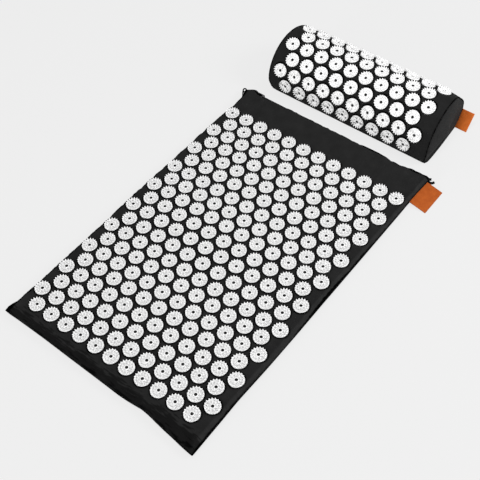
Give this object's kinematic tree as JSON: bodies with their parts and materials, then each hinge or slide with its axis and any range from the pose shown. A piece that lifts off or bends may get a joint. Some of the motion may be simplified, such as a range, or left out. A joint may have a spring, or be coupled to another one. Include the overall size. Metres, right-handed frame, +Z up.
{
  "type": "acupressure mat and pillow set",
  "caption": "Padded cloth mat with staggered rows of round spiked plastic discs, a D-shaped neck pillow with the same discs, zips at their backs and a bare leather tab on each.",
  "frame": {"origin": "middle of the mat's flat underside, on the floor", "axes": "+Z up, +Y along the mat's length towards its zip and the pillow, +X along its width towards the leather tab"},
  "size_m": [0.4683, 0.8647, 0.1032],
  "materials": {
    "spiked_cloth": "black woven cotton that carries moulded discs of white gloss plastic",
    "black_cloth": "black woven cotton",
    "foam": "soft padding foam",
    "zip_tape": "black coil zip tape",
    "zip_metal": "black painted",
    "leather": "matt brown, bare"
  },
  "bodies": {
    "mat": {"mat_top_cover": "spiked_cloth", "mat_bottom_cover": "black_cloth", "mat_foam_core": "foam", "mat_zip_tape_upper": "zip_tape", "mat_zip_tape_lower": "zip_tape", "mat_label": "leather"},
    "mat_zip_slider": {"mat_zip_slider": "zip_metal"},
    "mat_zip_pull": {"mat_zip_pull": "zip_metal"},
    "pillow": {"pillow_cover": "spiked_cloth", "pillow_base_panel": "black_cloth", "pillow_end_cap_left": "black_cloth", "pillow_end_cap_right": "black_cloth", "pillow_foam_core": "foam", "pillow_zip_tape_upper": "zip_tape", "pillow_zip_tape_lower": "zip_tape", "pillow_label": "leather"},
    "pillow_zip_slider": {"pillow_zip_slider": "zip_metal"},
    "pillow_zip_pull": {"pillow_zip_pull": "zip_metal"}
  },
  "joints": [
    {"name": "mat_zip_slide", "type": "slide", "parent": "mat", "child": "mat_zip_slider", "axis": [1, 0, 0], "range_m": [0, 0.378]},
    {"name": "mat_zip_pull_hinge", "type": "hinge", "parent": "mat_zip_slider", "child": "mat_zip_pull", "pos_m": [-0.196, 0.34185, 0.0086], "axis": [0, 0, 1], "range_deg": [0, 180]},
    {"name": "pillow_lift", "type": "slide", "parent": "mat", "child": "pillow", "axis": [0, 0, 1], "range_m": [0, 0.15]},
    {"name": "pillow_zip_slide", "type": "slide", "parent": "pillow", "child": "pillow_zip_slider", "axis": [1, 0, 0], "range_m": [0, 0.31]},
    {"name": "pillow_zip_pull_hinge", "type": "hinge", "parent": "pillow_zip_slider", "child": "pillow_zip_pull", "pos_m": [-0.1618, 0.52015, 0.038], "axis": [0, 0, 1], "range_deg": [0, 180]}
  ]
}
